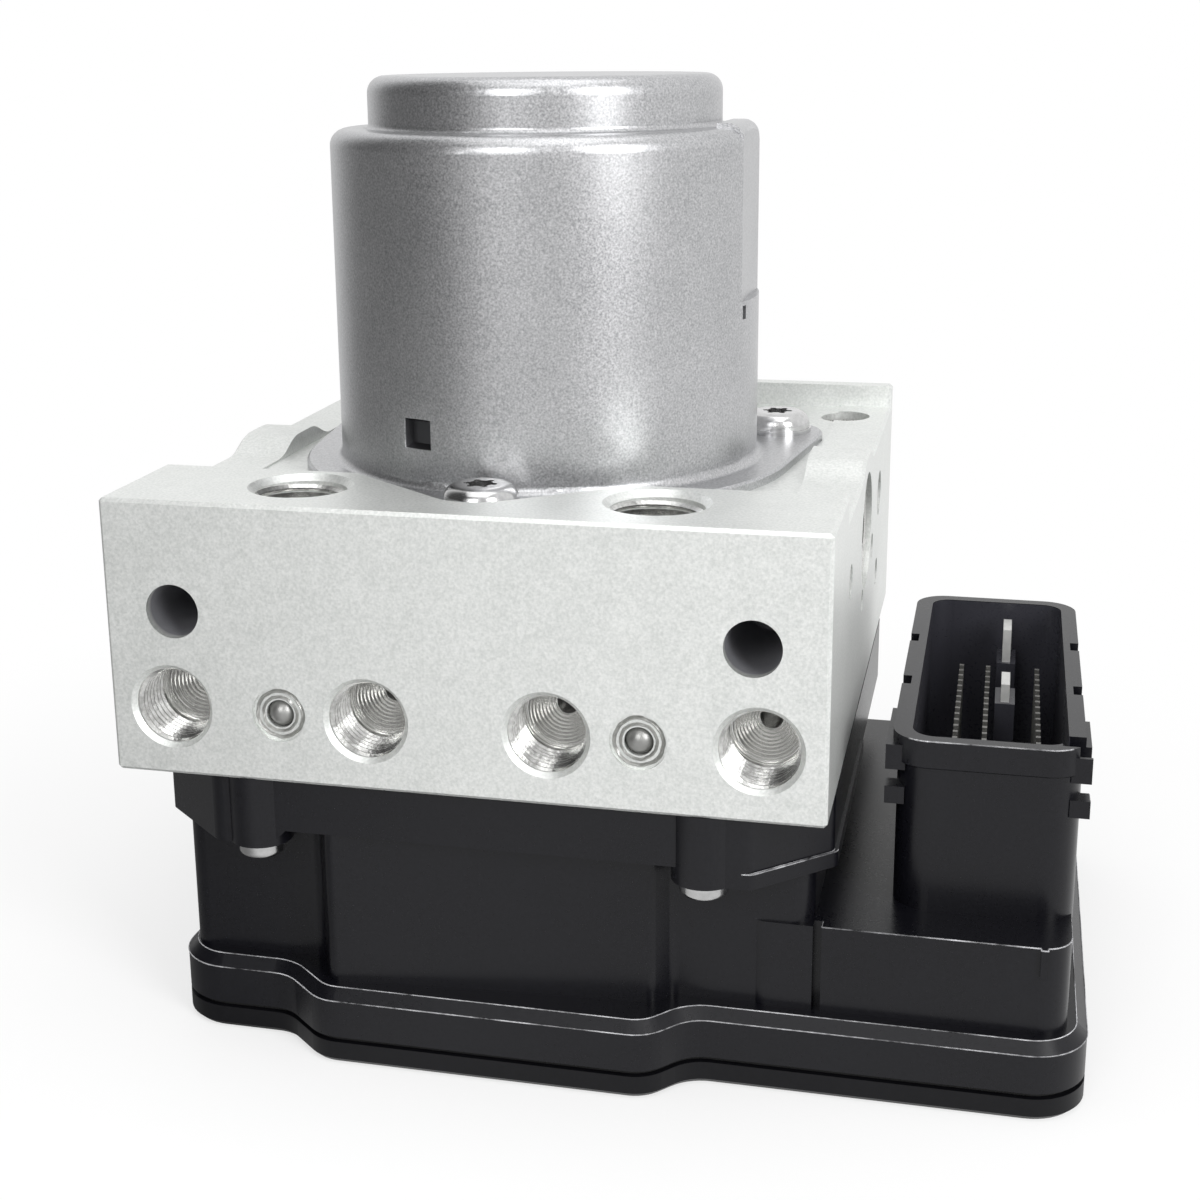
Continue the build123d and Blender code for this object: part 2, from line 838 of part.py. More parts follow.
def flange_face(grow=0.0):
    points = [
        (flange_left, flange_rear),
        (flange_left, flange_bend_y),
        (flange_bend_x[0], flange_front),
        (flange_bend_x[1] + grow, flange_front),
        (flange_right + grow, flange_bend_y),
        (flange_right + grow, flange_rear),
    ]
    return rounded(points, [3.0, 1.5, 3.0, 2.0, 1.5, 3.0])


def pin_spots():
    return [(x, pin_front + i * pin_pitch) for x in pin_rows for i in range(pin_count)]


def pin(x, y, half, z0, z1):
    return block_of(x - half, x + half, y - half, y + half, z0, z1)


def blade(y, grow, z0, z1):
    half = blade_w / 2 + grow
    return block_of(blade_x - half, blade_x + half, y - grow, y + blade_l + grow, z0, z1)


def flange_slabs():
    strip_low = base_h - flange_strip_h
    body = slab(flange_face(), strip_low, base_h)
    lower = slab(flange_face(), flange_low, strip_low)
    reach = strip_low - flange_low
    left = wall_step_x[0] - reach
    right = wall_step_x[3] + reach
    corners = [(left - reach, flange_low), (right + reach, flange_low), (right, strip_low), (left, strip_low)]
    gap = Plane.XZ * Polygon(*corners, align=None)
    lower -= Pos(0, wall_front, 0) * extrude(gap, motor_back)
    lip = slab(flange_face(flange_lip), flange_low, flange_low + flange_lip_h)
    lip &= block_of(boss_x[1] + boss_r, half_w + 10.0, 2 * front, 0.0, flange_low, base_h)
    return body + lower + lip


def shroud_hooks():
    left = shroud_left - collar_out
    right = shroud_right + collar_out * 0.6
    blocks = []
    for y0, y1, z0, z1 in hook_blocks:
        blocks.append(block_of(left - hook_out, left + shroud_wall, y0, y1, z0, z1))
        blocks.append(block_of(right - shroud_wall, right + hook_out, y0, y1, z0, z1))
    return blocks


def socket_shroud():
    left = shroud_left - collar_out
    right = shroud_right + collar_out * 0.6
    front_y = shroud_front - collar_out * 0.3
    outline = rounded_box(shroud_left, shroud_right, shroud_front, shroud_rear, shroud_corner)
    collar = rounded_box(left, right, front_y, shroud_rear + collar_out * 0.3, shroud_corner)
    body = slab(outline, platform_top - 1.0, shroud_top)
    rim = slab(collar, shroud_top - collar_h, shroud_top)
    body += chamfer(rim.faces().sort_by(Axis.Z)[0].edges(), collar_out * 0.25)
    for hook in shroud_hooks():
        body += hook
    for y in notch_y:
        y0 = y - notch_w / 2
        body -= block_of(left - 1.0, left + notch_d, y0, y0 + notch_w, shroud_top - 1.6, shroud_top)
        body -= block_of(right - notch_d, right + 1.0, y0, y0 + notch_w, shroud_top - 1.6, shroud_top)
    key_low = shroud_top - 2 * key_drop
    corners = [(right - key_cut, shroud_top), (right + 2.0, shroud_top), (right + 2.0, key_low)]
    wedge = Plane.XZ * Polygon(*corners, align=None)
    body -= Pos(0, shroud_front + shroud_wall, 0) * extrude(wedge, shroud_wall * 2)
    bore = rounded_box(
        shroud_left + shroud_wall,
        shroud_right - shroud_wall,
        shroud_front + shroud_wall,
        shroud_rear - shroud_wall,
        shroud_corner - shroud_wall,
    )
    body -= slab(bore, platform_top + 0.3, shroud_top)
    for y in blade_at:
        half = blade_foot_w / 2
        foot = block_of(
            blade_x - half, blade_x + half, y - half / 2, y + blade_l + half / 2, platform_top, blade_foot_top
        )
        body += foot
    return body


def ecu_housing():
    rim_low = cover_t + groove_t
    rim = slab(rim_face(), rim_low, rim_crest)
    body = chamfer(rim.faces().sort_by(Axis.Z)[-1].edges(), rim_slope)
    body += slab(wall_face(), rim_top, base_h)
    platform = rounded_box(wall_right - 10.0, platform_right, platform_front, wall_rear, platform_corner)
    body += slab(platform, rim_top, platform_top)
    groove_y = platform_front + groove_d
    body -= block_of(wall_right, wall_right + groove_w, platform_front - 1.0, groove_y, rim_crest, platform_top)
    rib_y = platform_front - rib_out
    rib_low = platform_top - rib_h
    body += block_of(rib_x - rib_w / 2, rib_x + rib_w / 2, rib_y, platform_front + 1.0, rib_low, platform_top)
    body += flange_slabs()
    for x, y in boss_at:
        body += upright(boss_r, flange_low, base_h, x, y)
    body += socket_shroud()
    body -= slab(rim_face(board_edge_gap - board_clear), rim_low, rim_top)
    body -= slab(wall_face(wall_t), rim_top, base_h)
    body -= block_of(
        wall_right - 3 * wall_t,
        platform_right - wall_t,
        platform_front + wall_t,
        wall_rear - wall_t,
        rim_top,
        platform_top - floor_t,
    )
    for x, y in boss_at:
        body -= upright(ecu_screw_r + 0.1, flange_low, base_h, x, y)
    for x, y in pin_spots():
        body -= pin(x, y, pin_side / 2, platform_top - floor_t, platform_top + 0.3)
    for y in blade_at:
        body -= blade(y, 0.0, platform_top - floor_t, blade_foot_top)
    return body


def ecu_cover():
    cover = slab(rim_face(), 0.0, cover_t)
    return chamfer(cover.faces().sort_by(Axis.Z)[0].edges(), cover_break)


def gasket():
    return slab(rim_face(0.9) - rim_face(board_edge_gap - 1.0), cover_t, cover_t + groove_t)


def circuit_board():
    low = rim_top - board_t
    board = slab(rim_face(board_edge_gap), low, rim_top)
    for x, y in pin_spots():
        board -= pin(x, y, pin_side / 2 + 0.05, low, rim_top)
    for y in blade_at:
        board -= blade(y, 0.05, low, rim_top)
    for x, y in valve_at:
        for d in (-coil_pin_x, coil_pin_x):
            board -= pin(x + d, y, coil_pin_side / 2 + 0.05, low, rim_top)
    return board


def components():
    low = rim_top - board_t
    pieces = []
    for x, y, w, d in chips:
        pieces.append(block_of(x - w / 2, x + w / 2, y - d / 2, y + d / 2, low - chip_h, low))
    for x, y in capacitor_at:
        pieces.append(upright(capacitor_r, rim_top, rim_top + capacitor_h, x, y))
    return pieces


def pins():
    low = rim_top - board_t - pin_tail
    return [pin(x, y, pin_side / 2, low, pin_top) for x, y in pin_spots()]


def blades():
    low = rim_top - board_t - pin_tail
    return [blade(blade_at[i], 0.0, low, blade_tops[i]) for i in range(2)]


def ecu_screws():
    screws = []
    for x, y in boss_at:
        head = upright(ecu_head_r, flange_low - ecu_head_h, flange_low, x, y)
        head = fillet(head.edges().sort_by(Axis.Z)[0], ecu_head_round)
        screws.append(head + upright(ecu_screw_r - 0.05, flange_low, base_h + ecu_screw_reach - 0.3, x, y))
    return screws


parts["valve_block"] = block()
parts["front_ball_plugs"] = ball_plugs()
parts["side_ball_plugs"] = side_balls()
parts["pump_plugs"] = mirrored(pump_plug())
parts["pump_cylinders"] = mirrored(pump_cylinder())
parts["pump_piston_left"] = mirror(pump_piston(), about=Plane.YZ)
parts["pump_piston_right"] = pump_piston()
parts["pump_spring_left"] = Rot(0, 0, 180) * pump_spring()
parts["pump_spring_right"] = pump_spring()
cap, acc_piston, acc_spring = acc_parts()
parts["accumulator_caps"] = mirrored(cap)
parts["accumulator_piston_left"] = mirror(acc_piston, about=Plane.YZ)
parts["accumulator_piston_right"] = acc_piston
parts["accumulator_spring_left"] = Pos(-2 * acc_x, 0, 0) * acc_spring
parts["accumulator_spring_right"] = acc_spring
parts["motor_can"] = motor_can()
parts["motor_magnets"] = magnets()
parts["rotor_core"] = rotor_core()
parts["rotor_winding"] = rotor_winding()
parts["commutator"] = commutator()
parts["motor_shaft"] = shaft()
parts["eccentric"] = eccentric()
parts["eccentric_bearing"] = eccentric_ring()
foot_low = cavity_floor - shaft_tip_l - 0.1
foot_high = foot_low + foot_bearing_h
parts["lower_bearing"] = tube(shaft_tip_r + running_gap, foot_bearing_r - 0.05, foot_low, foot_high)
bearing_in = shaft_r + running_gap
middle_low = pump_z + eccentric_h / 2 + 0.5
parts["middle_bearing"] = tube(bearing_in, cavity_r - press_gap, middle_low, seat_z - 0.2)
parts["upper_bearing"] = tube(bearing_in, bearing_r - press_gap, bearing_low, bearing_low + bearing_h)
parts["bearing_holder"] = bearing_holder()
parts["brush_plate"] = brush_plate()
parts["brushes"] = brushes()
parts["brush_springs"] = brush_springs()
parts["motor_screws"] = motor_screws()
parts["valve_bodies"] = [valve_body(x, y) for x, y in valve_at]
parts["valve_domes"] = [valve_dome(x, y) for x, y in valve_at]
for i in range(4):
    parts["inlet_plunger_" + str(i + 1)] = valve_plunger(valve_x[i], inlet_y, 0.0)
    parts["outlet_plunger_" + str(i + 1)] = valve_plunger(valve_x[i], outlet_y, plunger_travel)
parts["valve_coils"] = [valve_coil(x, y) for x, y in valve_at]
parts["coil_yokes"] = [coil_yoke(x, y) for x, y in valve_at]
parts["coil_pins"] = [p for x, y in valve_at for p in coil_pins(x, y)]
parts["ecu_housing"] = ecu_housing()
parts["ecu_cover"] = ecu_cover()
parts["ecu_gasket"] = gasket()
parts["circuit_board"] = circuit_board()
parts["board_components"] = components()
parts["connector_pins"] = pins()
parts["power_blades"] = blades()
parts["ecu_screws"] = ecu_screws()

for name, shape in parts.items():
    if isinstance(shape, list):
        shape = Compound(children=[s for item in shape for s in item.solids()])
    export_step(shape, "parts/" + name + ".step")
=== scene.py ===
# %% [markdown]
# # An anti-lock brake module in Blender
# The object is a hydraulic unit from a car: an aluminium valve block with drilled ports, a round
# pump motor on top and a black plastic control unit with a plug socket below. Its exact solids come
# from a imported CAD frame. This lesson gives them their finishes and adds what solids leave out,
# such as threads and staking marks.

import math
import random

import bmesh
import bpy
from mathutils import Matrix, Vector


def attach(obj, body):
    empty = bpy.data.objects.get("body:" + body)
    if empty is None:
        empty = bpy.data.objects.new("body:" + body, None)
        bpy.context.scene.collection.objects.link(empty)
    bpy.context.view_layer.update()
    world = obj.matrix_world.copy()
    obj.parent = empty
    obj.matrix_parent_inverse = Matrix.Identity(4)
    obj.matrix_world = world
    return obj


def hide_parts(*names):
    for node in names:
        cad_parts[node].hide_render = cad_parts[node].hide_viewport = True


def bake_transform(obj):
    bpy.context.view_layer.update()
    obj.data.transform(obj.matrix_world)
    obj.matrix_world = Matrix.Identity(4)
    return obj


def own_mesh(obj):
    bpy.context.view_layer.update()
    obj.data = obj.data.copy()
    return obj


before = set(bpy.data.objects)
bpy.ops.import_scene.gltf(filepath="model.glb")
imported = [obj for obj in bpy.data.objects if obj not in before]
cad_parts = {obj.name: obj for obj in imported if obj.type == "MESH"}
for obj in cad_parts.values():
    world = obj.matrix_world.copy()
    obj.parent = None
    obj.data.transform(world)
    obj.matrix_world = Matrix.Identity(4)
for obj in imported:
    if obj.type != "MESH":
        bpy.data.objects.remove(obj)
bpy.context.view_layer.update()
random.seed(7)
MM = 0.001

# %% [markdown]
# ## Named places on the block
# Everything is in metres in the CAD frame: the origin lies on the motor's axis at the base, +Z is up
# and the ports face -Y. The sizes below repeat the ones that the finishes and the pieces added here
# have to meet. They could be measured on the meshes each time, but a named place is easier to read.

# %% Named places
FRONT_Y = -54 * MM
BLOCK_BACK = 53 * MM
BLOCK_LOW = 42 * MM
BLOCK_HALF = 50 * MM
SEAT_Z = 77.4 * MM
PORT_X = [-41 * MM, -12.6 * MM, 12.6 * MM, 41 * MM]
PORT_Z = 52 * MM
PORT_R = 5.45 * MM
print("block is", round((BLOCK_BACK - FRONT_Y) / MM), "mm deep, with", len(PORT_X), "ports in front")

# %% [markdown]
# ## Node helpers
# A material is a small tree of nodes, and it could be joined up by hand in the shader editor. Written
# out here, a few helpers keep it short: `add` makes a node and sets its inputs, `calc` makes one step
# of arithmetic from numbers and sockets, `ramp` eases from one value to another, `blend` mixes two
# colours, `place_axes` gives the place on the object, and `empty_material` starts a new material.

# %% Node helpers


def add(tree, kind, at=(0, 0), **values):
    node = tree.nodes.new(kind)
    node.location = at
    for name, value in values.items():
        node.inputs[name.replace("_", " ")].default_value = value
    return node


def feed(tree, value, socket):
    if isinstance(value, bpy.types.NodeSocket):
        tree.links.new(value, socket)
    else:
        socket.default_value = value


def calc(tree, operation, *values):
    node = tree.nodes.new("ShaderNodeMath")
    node.operation = operation
    for value, socket in zip(values, node.inputs):
        feed(tree, value, socket)
    return node.outputs[0]


def ramp(tree, value, low, high, start=0.0, end=1.0):
    node = tree.nodes.new("ShaderNodeMapRange")
    node.interpolation_type = "SMOOTHSTEP"
    for name, setting in (("From Min", low), ("From Max", high), ("To Min", start), ("To Max", end)):
        node.inputs[name].default_value = setting
    feed(tree, value, node.inputs["Value"])
    return node.outputs["Result"]


def blend(tree, mask, first, second):
    node = tree.nodes.new("ShaderNodeMix")
    node.data_type = "RGBA"
    feed(tree, mask, node.inputs["Factor"])
    feed(tree, first, node.inputs["A"])
    feed(tree, second, node.inputs["B"])
    return node.outputs["Result"]


def place_axes(tree):
    place = tree.nodes.new("ShaderNodeTexCoord")
    split = tree.nodes.new("ShaderNodeSeparateXYZ")
    tree.links.new(place.outputs["Object"], split.inputs[0])
    return [split.outputs[axis] for axis in "XYZ"]


def empty_material(name):
    material = bpy.data.materials.new(name)
    material.use_nodes = True
    tree = material.node_tree
    tree.nodes.clear()
    out = add(tree, "ShaderNodeOutputMaterial", (700, 0))
    shader = add(tree, "ShaderNodeBsdfPrincipled", (400, 0))
    tree.links.new(shader.outputs["BSDF"], out.inputs["Surface"])
    return material, tree, shader


print("node helpers", [helper.__name__ for helper in (add, feed, calc, ramp, blend, place_axes)])

# %% [markdown]
# ## Surface grain, shared by every finish
# Blasted aluminium, plated sheet and moulded plastic all have a fine speckle that shifts colour and
# height a little. One shader group makes it from two noises, one fine and one broad, so each material
# only chooses how large and how strong its own grain is. A separate noise tree in every material
# would give the same look, but a change would have to be made in each of them.

# %% Surface grain group


def group_socket(group, name, way, kind, value=None):
    socket = group.interface.new_socket(name=name, in_out=way, socket_type=kind)
    if value is not None:
        socket.default_value = value


def make_grain_group():
    group = bpy.data.node_groups.new("surface_grain", "ShaderNodeTree")
    group_socket(group, "Fine Scale", "INPUT", "NodeSocketFloat", 1500.0)
    group_socket(group, "Broad Scale", "INPUT", "NodeSocketFloat", 60.0)
    group_socket(group, "Fine Amount", "INPUT", "NodeSocketFloat", 0.5)
    group_socket(group, "Broad Amount", "INPUT", "NodeSocketFloat", 0.5)
    group_socket(group, "Dark", "INPUT", "NodeSocketColor", (0.4, 0.4, 0.4, 1))
    group_socket(group, "Light", "INPUT", "NodeSocketColor", (0.6, 0.6, 0.6, 1))
    group_socket(group, "Color", "OUTPUT", "NodeSocketColor")
    group_socket(group, "Mask", "OUTPUT", "NodeSocketFloat")
    group_socket(group, "Height", "OUTPUT", "NodeSocketFloat")
    inner = group.nodes.new("NodeGroupInput")
    outer = group.nodes.new("NodeGroupOutput")
    place = group.nodes.new("ShaderNodeTexCoord")
    shares = []
    for size, detail in (("Fine", 3.0), ("Broad", 4.0)):
        noise = add(group, "ShaderNodeTexNoise", Detail=detail)
        group.links.new(place.outputs["Object"], noise.inputs["Vector"])
        group.links.new(inner.outputs[size + " Scale"], noise.inputs["Scale"])
        centred = calc(group, "SUBTRACT", noise.outputs["Fac"], 0.5)
        shares.append(calc(group, "MULTIPLY", centred, inner.outputs[size + " Amount"]))
        if size == "Fine":
            group.links.new(noise.outputs["Fac"], outer.inputs["Height"])
    mask = calc(group, "ADD", calc(group, "ADD", *shares), 0.5)
    mask.node.use_clamp = True
    colour = blend(group, mask, inner.outputs["Dark"], inner.outputs["Light"])
    group.links.new(colour, outer.inputs["Color"])
    group.links.new(mask, outer.inputs["Mask"])
    return group


GRAIN = make_grain_group()
print("group", GRAIN.name, "sockets", len(GRAIN.interface.items_tree))

# %% [markdown]
# ## One recipe for the finishes
# Each finish is grain on a Principled shader: the mask drives the colour and a narrow band of
# roughness, and the height feeds a Bump node. Metals differ from plastics in the metallic value,
# which is the same all over and so is set on the shader itself. A recipe with a few numbers is chosen
# over ready-made pictures of metal, because it has no seams and holds up at any distance. After the
# name they are, in order: the dark and the light colour, the metallic value, the band of roughness
# and the scale of the fine grain.

# %% Finish recipe


def grain_node(tree, scales, amounts, dark, light):
    speckle = add(tree, "ShaderNodeGroup", (-600, 0))
    speckle.node_tree = GRAIN
    speckle.inputs["Fine Scale"].default_value, speckle.inputs["Broad Scale"].default_value = scales
    speckle.inputs["Fine Amount"].default_value, speckle.inputs["Broad Amount"].default_value = amounts
    speckle.inputs["Dark"].default_value = (*dark, 1)
    speckle.inputs["Light"].default_value = (*light, 1)
    return speckle


def finish(
    name, dark, light, metallic, rough, grain,
    broad=60.0, amounts=(1.0, 0.6), bump=0.1, depth=0.02, spec=0.5,
):
    material, tree, shader = empty_material(name)
    speckle = grain_node(tree, (grain, broad), amounts, dark, light)
    tree.links.new(speckle.outputs["Color"], shader.inputs["Base Color"])
    spread = add(tree, "ShaderNodeMapRange", To_Min=rough[0], To_Max=rough[1])
    tree.links.new(speckle.outputs["Mask"], spread.inputs["Value"])
    tree.links.new(spread.outputs["Result"], shader.inputs["Roughness"])
    shader.inputs["Metallic"].default_value = metallic
    shader.inputs["Specular IOR Level"].default_value = spec
    relief = add(tree, "ShaderNodeBump", (200, -300), Strength=bump, Distance=depth * MM)
    tree.links.new(speckle.outputs["Height"], relief.inputs["Height"])
    tree.links.new(relief.outputs["Normal"], shader.inputs["Normal"])
    return material


print("recipe", finish.__name__)

# %% [markdown]
# ## Finishes of the small metal pieces
# The sealing balls are dull steel, their staked rims are bright where the punch struck, the pump plugs
# are turned and the screws are plated. The tinned pins and blades are softer in tone, and the pieces
# inside are ground steel. Each is one line of the recipe, so that they differ only where the real
# ones do.

# %% Small metal pieces
ball_metal = finish("sealing_ball", (0.28, 0.28, 0.27), (0.42, 0.42, 0.41), 0.9, (0.36, 0.48), 900.0)
stake_metal = finish("staked_rim", (0.3, 0.3, 0.29), (0.62, 0.62, 0.6), 0.85, (0.3, 0.5), 1600.0)
machined_metal = finish("machined_steel", (0.45, 0.45, 0.44), (0.62, 0.62, 0.6), 0.95, (0.2, 0.32), 900.0)
screw_metal = finish("plated_screw", (0.5, 0.5, 0.5), (0.72, 0.72, 0.72), 1.0, (0.16, 0.26), 1200.0)
pin_metal = finish("tinned_pin", (0.11, 0.11, 0.105), (0.24, 0.235, 0.22), 0.6, (0.35, 0.5), 900.0)
blade_metal = finish("tinned_blade", (0.5, 0.5, 0.49), (0.7, 0.7, 0.68), 0.3, (0.3, 0.42), 900.0)
copper_wire = finish("copper_wire", (0.55, 0.22, 0.1), (0.75, 0.35, 0.18), 1.0, (0.3, 0.42), 1300.0)
inner_steel = finish("ground_steel", (0.4, 0.4, 0.4), (0.6, 0.6, 0.6), 1.0, (0.22, 0.34), 1000.0)
print("finishes so far", len(bpy.data.materials))

# %% [markdown]
# ## Finishes of the plastics, the board and the brushes
# The control unit is moulded in black glass-filled plastic with a satin skin, and its cover is a
# little duller. Almost all of its tone comes from the mirrored room, so the colours are near black
# and the roughness decides how it looks.

# %% Plastics, board and brushes
housing_black = finish(
    "housing_plastic", (0.002, 0.002, 0.0035), (0.006, 0.006, 0.0085), 0.0, (0.24, 0.34), 1800.0, spec=0.36
)
cover_black = finish(
    "cover_plastic", (0.002, 0.002, 0.003), (0.005, 0.005, 0.0065), 0.0, (0.3, 0.42), 1500.0, spec=0.26
)
seal_black = finish("seal_rubber", (0.006, 0.006, 0.006), (0.01, 0.01, 0.01), 0.0, (0.7, 0.85), 900.0)
board_green = finish("board_mask", (0.008, 0.05, 0.02), (0.015, 0.09, 0.035), 0.0, (0.25, 0.4), 700.0)
chip_black = finish("chip_resin", (0.01, 0.01, 0.01), (0.02, 0.02, 0.02), 0.0, (0.5, 0.6), 1500.0)
carbon_block = finish("brush_carbon", (0.012, 0.012, 0.013), (0.03, 0.03, 0.03), 0.1, (0.5, 0.65), 1400.0)
magnet_grey = finish("magnet_ferrite", (0.03, 0.03, 0.032), (0.06, 0.06, 0.062), 0.2, (0.5, 0.62), 1100.0)
print("finishes so far", len(bpy.data.materials))

# %% [markdown]
# ## A greyer inside for the plug socket
# Inside the socket the mould's core leaves the plastic matt, and the photograph shows it as an even
# dark grey. A second material would need its own faces on the solid. A mask that is one inside a box
# and nought outside it does the same from the place alone. The box's corners are in millimetres.

# %% Grey the socket's inside
SOCKET_LOW = (59.4, -36.0, 23.0)
SOCKET_HIGH = (80.5, 29.0, 48.9)
SOCKET_GREY = (0.035, 0.035, 0.043, 1)


def grey_inside(material, low, high, colour):
    tree = material.node_tree
    shader = tree.nodes["Principled BSDF"]
    plain = shader.inputs["Base Color"].links[0].from_socket
    inside = 1.0
    for axis, start, end in zip(place_axes(tree), low, high):
        past = calc(tree, "GREATER_THAN", axis, start * MM)
        before = calc(tree, "LESS_THAN", axis, end * MM)
        inside = calc(tree, "MULTIPLY", inside, calc(tree, "MULTIPLY", past, before))
    tree.links.new(blend(tree, inside, plain, colour), shader.inputs["Base Color"])


grey_inside(housing_black, SOCKET_LOW, SOCKET_HIGH, SOCKET_GREY)
print("nodes in the housing's finish", len(housing_black.node_tree.nodes))

# %% [markdown]
# ## The valve block: blasted outside, machined inside
# The aluminium block is blasted to a pale, even grey, then drilled and tapped, so the bores are smooth
# and bright where light reaches them. The plain bracket holes are deep and blind, so their shade is
# painted into the colour. Two masks worked out from the place on the block tell the material which is
# which: how far a point lies behind the outer faces, and how far it lies from the axis of a pair of holes.

# %% Masks for the bores
EDGE_BREAK = 0.6 * MM


def make_depth_group():
    group = bpy.data.node_groups.new("depth_behind_faces", "ShaderNodeTree")
    group_socket(group, "Soft", "INPUT", "NodeSocketFloat", 1.0 * MM)
    group_socket(group, "Mask", "OUTPUT", "NodeSocketFloat")
    inner = group.nodes.new("NodeGroupInput")
    outer = group.nodes.new("NodeGroupOutput")
    x, y, z = place_axes(group)
    least = calc(group, "SUBTRACT", y, FRONT_Y)
    for further in (
        calc(group, "SUBTRACT", BLOCK_BACK, y),
        calc(group, "SUBTRACT", z, BLOCK_LOW),
        calc(group, "SUBTRACT", SEAT_Z, z),
        calc(group, "SUBTRACT", BLOCK_HALF, calc(group, "ABSOLUTE", x)),
    ):
        least = calc(group, "MINIMUM", least, further)
    past_edge = calc(group, "SUBTRACT", least, EDGE_BREAK)
    share = calc(group, "DIVIDE", past_edge, inner.outputs["Soft"])
    group.links.new(ramp(group, share, 0.0, 1.0), outer.inputs["Mask"])
    return group


def make_hole_group():
    group = bpy.data.node_groups.new("round_hole_pair", "ShaderNodeTree")
    for name in ("Centre X", "Centre Z", "Radius"):
        group_socket(group, name, "INPUT", "NodeSocketFloat", 0.01)
    group_socket(group, "Mask", "OUTPUT", "NodeSocketFloat")
    group_socket(group, "Distance", "OUTPUT", "NodeSocketFloat")
    inner = group.nodes.new("NodeGroupInput")
    outer = group.nodes.new("NodeGroupOutput")
    x, _, z = place_axes(group)
    across = calc(group, "SUBTRACT", calc(group, "ABSOLUTE", x), inner.outputs["Centre X"])
    up = calc(group, "SUBTRACT", z, inner.outputs["Centre Z"])
    squares = [calc(group, "MULTIPLY", step, step) for step in (across, up)]
    distance = calc(group, "SQRT", calc(group, "ADD", *squares))
    group.links.new(calc(group, "LESS_THAN", distance, inner.outputs["Radius"]), outer.inputs["Mask"])
    group.links.new(distance, outer.inputs["Distance"])
    return group


DEPTH = make_depth_group()
HOLES = make_hole_group()
print("bore masks", DEPTH.name, HOLES.name)

# %% [markdown]
# ## The block's own material
# The blasted skin, the bright bores and the painted shade of the bracket holes are three tones of one
# surface, so one material blends them by the masks. A drill leaves fine rings on the floor of each
# port. They are a sine wave of the distance from the port's axis, because real rings this small would
# cost thousands of faces.

# %% Block material
BRACKET_X = 40 * MM
BRACKET_Z = 65.9 * MM
BRACKET_R = 4.15 * MM
TURNING_PITCH = 0.38 * MM
BORE_PALE = (0.9, 0.9, 0.88, 1)
# painted shade for the deep bracket holes
BRACKET_PAINTED_SHADE = (0.3, 0.3, 0.32, 1)
BORE_ROUGHER = -0.28
BRACKET_ROUGHER = 0.5


def hole_node(tree, x, z, radius):
    holes = add(tree, "ShaderNodeGroup", (-600, -500))
    holes.node_tree = HOLES
    holes.inputs["Centre X"].default_value = x
    holes.inputs["Centre Z"].default_value = z
    holes.inputs["Radius"].default_value = radius
    return holes


def block_finish():
    material, tree, shader = empty_material("block_aluminium")
    speckle = grain_node(tree, (2600.0, 250.0), (1.8, 0.4), (0.64, 0.66, 0.64), (0.86, 0.87, 0.855))
    depth = add(tree, "ShaderNodeGroup", (-600, -300))
    depth.node_tree = DEPTH
    inside = depth.outputs["Mask"]
    bracket = hole_node(tree, BRACKET_X, BRACKET_Z, BRACKET_R)
    # painted shade: the deep bracket holes are darkened in the colour
    dark = calc(tree, "MULTIPLY", inside, bracket.outputs["Mask"])
    colour = blend(tree, inside, speckle.outputs["Color"], BORE_PALE)
    tree.links.new(blend(tree, dark, colour, BRACKET_PAINTED_SHADE), shader.inputs["Base Color"])
    blasted = ramp(tree, speckle.outputs["Mask"], 0.0, 1.0, 0.4, 0.5)
    cut = calc(tree, "ADD", blasted, calc(tree, "MULTIPLY", inside, BORE_ROUGHER))
    rough = calc(tree, "ADD", cut, calc(tree, "MULTIPLY", dark, BRACKET_ROUGHER))
    tree.links.new(rough, shader.inputs["Roughness"])
    shader.inputs["Metallic"].default_value = 0.75
    relief = add(tree, "ShaderNodeBump", (0, -300), Strength=0.3, Distance=0.02 * MM)
    tree.links.new(speckle.outputs["Height"], relief.inputs["Height"])
    distances = [hole_node(tree, x, PORT_Z, PORT_R).outputs["Distance"] for x in PORT_X[2:]]
    from_axis = calc(tree, "MINIMUM", *distances)
    ring = calc(tree, "SINE", calc(tree, "MULTIPLY", from_axis, 2 * math.pi / TURNING_PITCH))
    near = calc(tree, "MULTIPLY", calc(tree, "LESS_THAN", from_axis, PORT_R), inside)
    turned = add(tree, "ShaderNodeBump", (200, -300), Strength=0.5, Distance=0.035 * MM)
    tree.links.new(calc(tree, "MULTIPLY", ring, near), turned.inputs["Height"])
    tree.links.new(relief.outputs["Normal"], turned.inputs["Normal"])
    tree.links.new(turned.outputs["Normal"], shader.inputs["Normal"])
    return material


block_metal = block_finish()
print("block finish", block_metal.name)

# %% [markdown]
# ## The can's plating, with painted shade inside the punched marks
# The can is drawn sheet with a fine silvery plating. The two punched marks are recesses, and their
# shade is painted into the colour. A mask compares a point's distance from the motor's axis with the
# can's radius, so that only what lies under the round wall gets that painted shade.

# %% Can material
CAN_R = 32.5 * MM
MARK_TOP = 122 * MM
MARK_SIDE = 20 * MM
UNDER_WALL = (0.06 * MM, 0.25 * MM)
# painted shade for the punched marks
MARK_PAINTED_SHADE = (0.07, 0.07, 0.075, 1)


